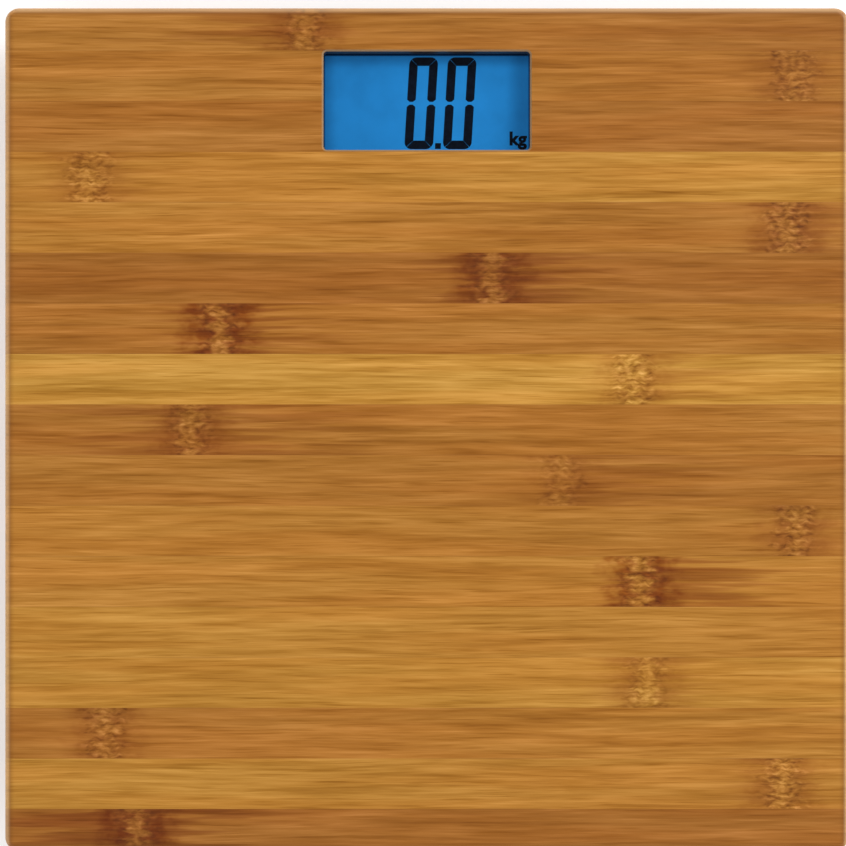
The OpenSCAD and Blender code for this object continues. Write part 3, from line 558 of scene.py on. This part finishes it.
def clear_sheet(name, tint=(1.0, 1.0, 1.0), ior=1.49):
    """Thin clear sheet: light goes straight through it, less what its faces reflect."""
    g = Graph(name)
    through = g.add("BsdfTransparent")
    through.inputs[0].default_value = (*tint, 1.0)
    shine = g.add("BsdfGlossy")
    shine.inputs["Color"].default_value = (1.0, 1.0, 1.0, 1.0)
    smear = g.noise(g.place_mm(), 0.08, 4.0, 0.6)
    g.feed(g.plus(0.02, g.mul(g.smooth(smear, 0.45, 0.75), 0.06)), shine.inputs["Roughness"])
    fresnel = g.add("Fresnel")
    fresnel.inputs["IOR"].default_value = ior
    # only the face that the light enters by reflects, since nothing bends the light inside
    outside = g.minus(1.0, g.add("NewGeometry").outputs["Backfacing"])
    mix = g.add("MixShader")
    g.feed(g.mul(fresnel.outputs[0], outside), mix.inputs[0])
    g.tree.links.new(through.outputs[0], mix.inputs[1])
    g.tree.links.new(shine.outputs[0], mix.inputs[2])
    g.tree.links.new(mix.outputs[0], g.output.inputs["Surface"])
    g.tree.nodes.remove(g.shader)
    return g.material


# ------------------------------------------------------------------ display

FIELD_BLUE = linear(30, 120, 186)
# the blue at the field's dim edges, where painted shadow lies over the backlight's fall-off
FIELD_DEEP = linear(14, 78, 142)

# The middle of the brightest part of the field, along X
GLOW_X = 5.0


def lit_field():
    """The LCD's blue field, backlit: dimmer towards its frame, partly from the backlight's fall-off and
    partly from painted shadow of the window's walls.
    """
    g = Graph("lit_field")
    x, y, _ = g.split(g.place_mm())
    from_right = g.minus(WINDOW_W / 2, x)
    from_left = g.plus(WINDOW_W / 2, x)
    from_top = g.minus(WINDOW_D / 2, g.minus(y, WINDOW_Y))
    nearest_side = g.math("MINIMUM", from_left, from_right)
    cloud = g.noise(g.place_mm(), 0.12, 3.0)
    # painted shadow of the window's walls, laid over the backlight's own fall-off: darker along the right,
    # left and top edges, a dark band at the top and a dark line at the frame; the bright middle and the
    # cloud are the backlight's unevenness
    shares = (
        g.smooth(from_right, 2.0, 9.0, 0.74, 1.0),
        g.smooth(from_left, 0.0, 5.0, 0.8, 1.0),
        g.smooth(from_top, 0.0, 5.5, 0.66, 1.0),
        g.smooth(from_top, -0.1, 0.5, 0.1, 1.0),
        g.smooth(nearest_side, 0.0, 0.4, 0.45, 1.0),
        g.smooth(g.size(g.minus(x, GLOW_X)), 4.0, 30.0, 1.1, 0.98),
        g.smooth(cloud, 0.25, 0.75, 0.95, 1.05),
    )
    glow = shares[0]
    for share in shares[1:]:
        glow = g.mul(glow, share)
    lit = g.times(g.mix(glow, FIELD_DEEP, FIELD_BLUE), g.grey(glow))
    unlit = g.times(lit, (0.35, 0.35, 0.35))
    return g.finish(unlit, 0.3, Emission_Color=lit, Emission_Strength=0.82, Specular_IOR_Level=0.1)


def lcd_ink():
    """A switched-on LCD segment: near black, with a trace of the field's blue."""
    g = Graph("lcd_ink")
    cloud = g.noise(g.place_mm(), 0.6)
    base = g.mix(g.smooth(cloud, 0.3, 0.7), linear(4, 12, 26), linear(9, 20, 36))
    return g.finish(base, 0.3, Specular_IOR_Level=0.1)


# The two zeros, in mm: one digit's size and stroke, its corner's radius, half the gap at its waist,
# the hairline between its segments, where the digits stand, and how far they lean per mm of height
DIGIT_W = 10.3
DIGIT_H = 33.0
DIGIT_STROKE = 3.1
DIGIT_CORNER = 2.6
DIGIT_WAIST = 0.5
DIGIT_HAIRLINE = 0.03
DIGIT_XS = (-8.1, 5.7)
DIGIT_FOOT_Y = 100.7
DIGIT_SLANT = 0.060

# The outline of the point between them, and the unit's place and letters, in mm as well
DOT = ((2.95, 100.8), (5.05, 100.8), (5.15, 102.9), (3.05, 102.9))
UNIT_X = 29.6
UNIT_Y = 102.3
UNIT_SIZE = 6.6
UNIT_BOLDNESS = 0.27
UNIT_SPACING = 1.06
INK_T = 0.03 * MM


def arc(cx, cy, radius, start, end, steps=6):
    """Points of an arc, with its angles in degrees."""
    angles = [math.radians(start + (end - start) * i / steps) for i in range(steps + 1)]
    return [(cx + radius * math.cos(a), cy + radius * math.sin(a)) for a in angles]


def zero_segments():
    """Outlines of the six segments that make a 0, with its lower left corner at (0, 0)."""
    width, height, stroke, radius = DIGIT_W, DIGIT_H, DIGIT_STROKE, DIGIT_CORNER
    half = DIGIT_HAIRLINE / 2
    foot = height / 2 + DIGIT_WAIST
    tip = stroke * 0.26
    corner = (radius, height - radius)
    upright = [(stroke * 0.3, foot), (stroke * 0.7, foot), (stroke, foot + tip)]
    upright += [(stroke, height - stroke - DIGIT_HAIRLINE)]
    upright += [(x, y - half) for x, y in arc(*corner, radius, 136, 180, 4)]
    upright += [(0.0, foot + tip)]
    bar = [(stroke + half, height - stroke)]
    bar += [(x + half, y) for x, y in arc(*corner, radius, 134, 90, 4)]
    bar += [(width - x, y) for x, y in reversed(bar)]

    def flip(points, in_x, in_y):
        return [(width - x if in_x else x, height - y if in_y else y) for x, y in points]

    sides = [flip(upright, in_x, in_y) for in_x in (False, True) for in_y in (False, True)]
    return sides + [bar, flip(bar, False, True)]


def slanted(outline, x0):
    return [(x0 + x + DIGIT_SLANT * y, DIGIT_FOOT_Y + y) for x, y in outline]


def new_piece(name, mesh, material):
    mesh.materials.clear()
    mesh.materials.append(material)
    piece = bpy.data.objects.new(name, mesh)
    bpy.context.scene.collection.objects.link(piece)
    return piece


def mesh_from(name, bm):
    mesh = bpy.data.meshes.new(name)
    bm.to_mesh(mesh)
    bm.free()
    return mesh


def closed_piece(name, bm, material):
    """A new piece of this closed shape, with every face looking outwards."""
    bmesh.ops.recalc_face_normals(bm, faces=bm.faces)
    return new_piece(name, mesh_from(name, bm), material)


def raise_faces(bm, faces, thickness):
    """Turns flat faces into plates of this thickness, upwards."""
    made = bmesh.ops.extrude_face_region(bm, geom=faces)["geom"]
    raised = [v for v in made if isinstance(v, bmesh.types.BMVert)]
    bmesh.ops.translate(bm, verts=raised, vec=(0, 0, thickness))


def plates(name, outlines, low, thickness, material):
    """One mesh of flat plates with these outlines, in mm on the display, standing on height low."""
    bm = bmesh.new()
    for outline in outlines:
        face = bm.faces.new([bm.verts.new((x * MM, y * MM, low)) for x, y in outline])
        raise_faces(bm, [face], thickness)
    return closed_piece(name, bm, material)


def unit_letters(ink):
    """The unit kg in plain letters, as a mesh."""
    letters = bpy.data.curves.new("unit_letters", "FONT")
    letters.body = "kg"
    letters.size = UNIT_SIZE * MM
    letters.offset = UNIT_BOLDNESS * MM
    letters.space_character = UNIT_SPACING
    letters.extrude = INK_T / 2
    text = bpy.data.objects.new("unit_text", letters)
    bpy.context.scene.collection.objects.link(text)
    bpy.context.view_layer.update()
    mesh = bpy.data.meshes.new_from_object(text.evaluated_get(bpy.context.evaluated_depsgraph_get()))
    bpy.data.objects.remove(text)
    mesh.transform(Matrix.Translation((UNIT_X * MM, UNIT_Y * MM, FIELD_HIGH.z + INK_T / 2)))
    return new_piece("reading_unit", mesh, ink)


def add_reading():
    """The reading 0.0 and the unit kg, as thin plates of ink on the display's upper film."""
    ink = lcd_ink()
    outlines = [slanted(segment, x0) for x0 in DIGIT_XS for segment in zero_segments()]
    digits = plates("reading_digits", outlines + [DOT], FIELD_HIGH.z, INK_T, ink)
    for piece in (digits, unit_letters(ink)):
        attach(piece, "platform")


# ------------------------------------------------------------------ materials on the nodes

WIRE_RED = linear(178, 26, 22)
WIRE_WHITE = linear(226, 224, 216)
WIRE_BLACK = linear(26, 26, 28)

MATERIALS = {
    "bamboo": bamboo(),
    "clear_acrylic": clear_sheet("clear_acrylic"),
    "foam": rubber("foam", linear(30, 30, 32), 0.9),
    "lit_lcd": lit_field(),
    "lcd_glass": clear_sheet("lcd_glass", (0.82, 0.92, 0.96), ior=1.52),
    "dark_film": moulded("dark_film", linear(40, 44, 52), 0.2, roughness=0.2, depth_mm=0.003, specular=0.5),
    "white_film": white_film("white_film", linear(236, 238, 240), glow=0.15),
    "circuit_board": circuit_board(),
    "led_plastic": white_film("led_plastic", linear(240, 232, 180), glow=0.6),
    "white_plastic": moulded("white_plastic", linear(222, 222, 216)),
    "grey_silicone": rubber("grey_silicone", linear(120, 122, 124), 0.6),
    "black_epoxy": moulded(
        "black_epoxy", linear(16, 16, 18), 1.5, roughness=0.14, depth_mm=0.02, specular=0.5
    ),
    "smd_ceramic": moulded("smd_ceramic", linear(118, 92, 66), 0.3, roughness=0.4),
    "black_plastic": moulded("black_plastic", linear(34, 34, 36)),
    "cell_jacket": cell_jacket(),
    "nickel": metal("nickel", (0.62, 0.60, 0.55), 0.25),
    "red_lead": insulation("red_lead", [linear(176, 24, 20)]),
    "black_lead": insulation("black_lead", [linear(24, 24, 26)]),
    "carbon_pill": rubber("carbon_pill", linear(20, 20, 22), 0.8),
    "zinc_screw": metal("zinc_screw", (0.56, 0.56, 0.58), 0.32),
    "foot_rubber": rubber("foot_rubber", linear(40, 40, 42)),
    "spring_steel": metal("spring_steel", (0.46, 0.47, 0.49), 0.34),
    "white_silicone": rubber("white_silicone", linear(226, 226, 220), 0.5),
    "signal_lead": insulation("signal_lead", [WIRE_RED, WIRE_WHITE, WIRE_BLACK]),
    "hot_glue": moulded("hot_glue", linear(222, 208, 168), 1.4, roughness=0.3, depth_mm=0.05, specular=0.5),
}

# Width in mm of the softened edge that moulding, casting or pressing leaves on a material
SOFT_EDGES = {
    "black_plastic": 0.25, "white_plastic": 0.2, "zinc_screw": 0.1, "foot_rubber": 0.2,
    "grey_silicone": 0.15, "hot_glue": 0.5, "white_silicone": 0.2, "spring_steel": 0.12
}
WELD_MM = 0.002
SHARP_DEGREES = 40


def dress_nodes():
    """Gives every CAD node its slot's material, and the moulded and pressed ones softened edges."""
    for row in frame["record"]["subparts"]:
        node = NODES[row["node"]]
        slot = row["material_slot"]
        node.data.materials.clear()
        node.data.materials.append(MATERIALS[slot])
        # the board's faces keep their own normals; the rest is welded, so that bevels run round corners
        if slot != "bamboo":
            weld = node.modifiers.new("weld", "WELD")
            weld.merge_threshold = WELD_MM * MM
        if slot in SOFT_EDGES:
            bevel = node.modifiers.new("soft_edges", "BEVEL")
            bevel.width = SOFT_EDGES[slot] * MM
            bevel.segments = 2
            bevel.limit_method = "ANGLE"
            bevel.angle_limit = math.radians(SHARP_DEGREES)
            bevel.use_clamp_overlap = True


# ------------------------------------------------------------------ pieces rebuilt in two parts

FEET = ("fl", "fr", "rl", "rr")

# A load cell in mm, with its root towards -Y: the frame's side and corner, the window in it, and the
# tongue, which bends between its root and the foot's spigot
CELL_SIDE = 34.0
CELL_CORNER = 3.0
SLOT_HALF_W = 9.5
SLOT_END = 9.0
TONGUE_HALF_W = 6.5
TONGUE_ROOT = -11.0
TONGUE_BENT = -3.2
TONGUE_END = 6.0
BEND_STEPS = 10

# The button's silicone web in mm: its ring, and the thin cone inside it, with heights above its foot
RING_INNER = 6.0
RING_OUTER = 7.6
CONE_INNER = 3.0
CONE_T = 0.5
CONE_FOOT = 0.5
CONE_INNER_TOP = 1.1
CONE_OUTER_LOW = 1.9
CONE_OUTER_TOP = 2.6
TURN_STEPS = 64


def turned(name, profile, foot, material):
    """A ring about Z with this closed profile of (radius, height) points, in mm from foot."""
    bm = bmesh.new()
    rows = []
    for i in range(TURN_STEPS):
        angle = 2 * math.pi * i / TURN_STEPS
        along_x = MM * math.cos(angle)
        along_y = MM * math.sin(angle)
        points = [(foot.x + r * along_x, foot.y + r * along_y, foot.z + z * MM) for r, z in profile]
        rows.append([bm.verts.new(point) for point in points])
    for i, here in enumerate(rows):
        before = rows[i - 1]
        for k in range(len(profile)):
            bm.faces.new((before[k - 1], here[k - 1], here[k], before[k]))
    return closed_piece(name, bm, material)


def button_skirt():
    """The button's silicone web as a fixed ring and a thin cone inside it."""
    low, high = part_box("button_web")
    foot = (low + high) / 2
    foot.z = low.z
    silicone = MATERIALS["grey_silicone"]
    top = (high.z - low.z) / MM
    ring = turned("button_web_ring", [
        (RING_INNER, 0), (RING_OUTER, 0), (RING_OUTER, top), (RING_INNER, top)
    ], foot, silicone)
    cone = turned("button_web_cone", [
        (CONE_INNER, CONE_FOOT), (CONE_INNER + CONE_T, CONE_FOOT), (RING_INNER, CONE_OUTER_LOW),
        (RING_INNER, CONE_OUTER_TOP), (CONE_INNER, CONE_INNER_TOP)
    ], foot, silicone)
    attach(ring, "platform")
    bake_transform(cone)
    for piece in (ring, cone):
        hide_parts("button_web")


def cell_frame(name, place, low, high):
    """The load cell's outer frame: a square plate with a window that the tongue reaches into."""
    near = CELL_SIDE / 2 - CELL_CORNER
    corners = ((near, near, 0), (-near, near, 90), (-near, -near, 180), (near, -near, 270))
    outer = [p for cx, cy, start in corners for p in arc(cx, cy, CELL_CORNER, start, start + 90)]
    window = [
        (-SLOT_HALF_W, TONGUE_ROOT), (SLOT_HALF_W, TONGUE_ROOT), (SLOT_HALF_W, SLOT_END),
        (-SLOT_HALF_W, SLOT_END)
    ]
    bm = bmesh.new()
    edges = []
    for loop in (outer, window):
        verts = [bm.verts.new(place @ Vector((x * MM, y * MM, low))) for x, y in loop]
        edges += [bm.edges.new((verts[i], verts[i - 1])) for i in range(len(verts))]
    filled = bmesh.ops.triangle_fill(bm, use_beauty=True, edges=edges)["geom"]
    raise_faces(bm, [f for f in filled if isinstance(f, bmesh.types.BMFace)], high - low)
    return closed_piece(name, bm, MATERIALS["spring_steel"])


def cell_tongue(name, place, low, high):
    """The load cell's tongue, cut across often enough between its root and the foot to bend."""
    bent_part = TONGUE_BENT - TONGUE_ROOT
    stops = [TONGUE_ROOT + bent_part * i / BEND_STEPS for i in range(BEND_STEPS + 1)] + [TONGUE_END]
    half = TONGUE_HALF_W * MM
    section = ((-half, low), (half, low), (half, high), (-half, high))
    bm = bmesh.new()
    rows = [[bm.verts.new(place @ Vector((x, y * MM, z))) for x, z in section] for y in stops]
    for here, beyond in zip(rows, rows[1:]):
        for k in range(4):
            bm.faces.new((here[k - 1], here[k], beyond[k], beyond[k - 1]))
    bm.faces.new(rows[0])
    bm.faces.new(rows[-1])
    return closed_piece(name, bm, MATERIALS["spring_steel"])


def bending_load_cells():
    """Each load cell as a fixed frame and a separate tongue."""
    for foot in FEET:
        node = "load_cell_" + foot
        low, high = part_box(node)
        middle = (low + high) / 2
        # the gauge lies on the tongue's root
        gauge_low, gauge_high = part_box("gauge_cover_" + foot)
        to_root = (gauge_low + gauge_high) / 2 - middle
        turn = Matrix.Rotation(math.atan2(to_root.x, -to_root.y), 4, "Z")
        place = Matrix.Translation((middle.x, middle.y, 0)) @ turn
        cell = cell_frame("load_cell_frame_" + foot, place, low.z, high.z)
        tongue = cell_tongue("load_cell_tongue_" + foot, place, low.z, high.z)
        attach(cell, "platform")
        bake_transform(tongue)
        for piece in (cell, tongue):
            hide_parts(node)


# ------------------------------------------------------------------ floor, light and camera

FLOOR_HALF = 6.0
FLOOR_GLOW = 0.32

# The room's brightness by height of view, from 0 at the horizon to 1 straight up
WALLS_END = 0.78
CEILING_START = 0.93
CEILING_GREY = 0.06

KEY_PLACE = Vector((1.5, 1.2, 1.3))
KEY_SIDE = 1.0
KEY_POWER = 24

# The camera in mm: where it stands over the board, how high, and the width of board that it takes in
VIEW_X = -1.33
VIEW_Y = 2.4
VIEW_DISTANCE = 780.0
VIEW_W = 300.3


def stage_floor():
    """A plain pale floor under the feet, far wider than the scale."""
    g = Graph("floor")
    cloud = g.noise(g.place_mm(), 0.002)
    base = g.mix(g.smooth(cloud, 0.3, 0.7), (0.86, 0.86, 0.86), (0.88, 0.88, 0.88))
    glow = {"Emission_Color": (1.0, 1.0, 1.0), "Emission_Strength": FLOOR_GLOW}
    material = g.finish(base, 0.7, Specular_IOR_Level=0.2, **glow)
    bm = bmesh.new()
    bmesh.ops.create_grid(bm, x_segments=8, y_segments=8, size=FLOOR_HALF)
    new_piece("floor", mesh_from("floor", bm), material)


def soft_studio():
    """Bright walls under a dark ceiling, so that the display's window mirrors no light."""
    world = bpy.data.worlds.new("studio")
    world.use_nodes = True
    tree = world.node_tree
    sky = tree.nodes["Background"]
    place = tree.nodes.new("ShaderNodeTexCoord")
    parts = tree.nodes.new("ShaderNodeSeparateXYZ")
    ramp = tree.nodes.new("ShaderNodeValToRGB")
    tree.links.new(place.outputs["Generated"], parts.inputs[0])
    tree.links.new(parts.outputs["Z"], ramp.inputs[0])
    tree.links.new(ramp.outputs[0], sky.inputs["Color"])
    walls, ceiling = ramp.color_ramp.elements
    walls.position = WALLS_END
    walls.color = (1.0, 1.0, 1.0, 1.0)
    ceiling.position = CEILING_START
    ceiling.color = (CEILING_GREY, CEILING_GREY, CEILING_GREY, 1.0)
    bpy.context.scene.world = world
    bpy.context.scene.view_settings.view_transform = "Standard"


def key_light():
    """A soft key from the right of the display edge."""
    data = bpy.data.lights.new("key", "AREA")
    data.shape = "RECTANGLE"
    data.size = KEY_SIDE
    data.size_y = KEY_SIDE
    data.energy = KEY_POWER
    light = bpy.data.objects.new("key", data)
    light.location = KEY_PLACE
    light.rotation_euler = (-KEY_PLACE).to_track_quat("-Z", "Y").to_euler()
    bpy.context.scene.collection.objects.link(light)


def top_camera():
    """Straight down on the board, which just overfills the frame to the right and below."""
    data = bpy.data.cameras.new("camera")
    data.lens = data.sensor_width * VIEW_DISTANCE / VIEW_W
    camera = bpy.data.objects.new("camera", data)
    camera.location = (VIEW_X * MM, VIEW_Y * MM, BOARD_HIGH.z + VIEW_DISTANCE * MM)
    bpy.context.scene.collection.objects.link(camera)
    bpy.context.scene.camera = camera


dress_nodes()
add_reading()
button_skirt()
bending_load_cells()
stage_floor()
soft_studio()
key_light()
top_camera()
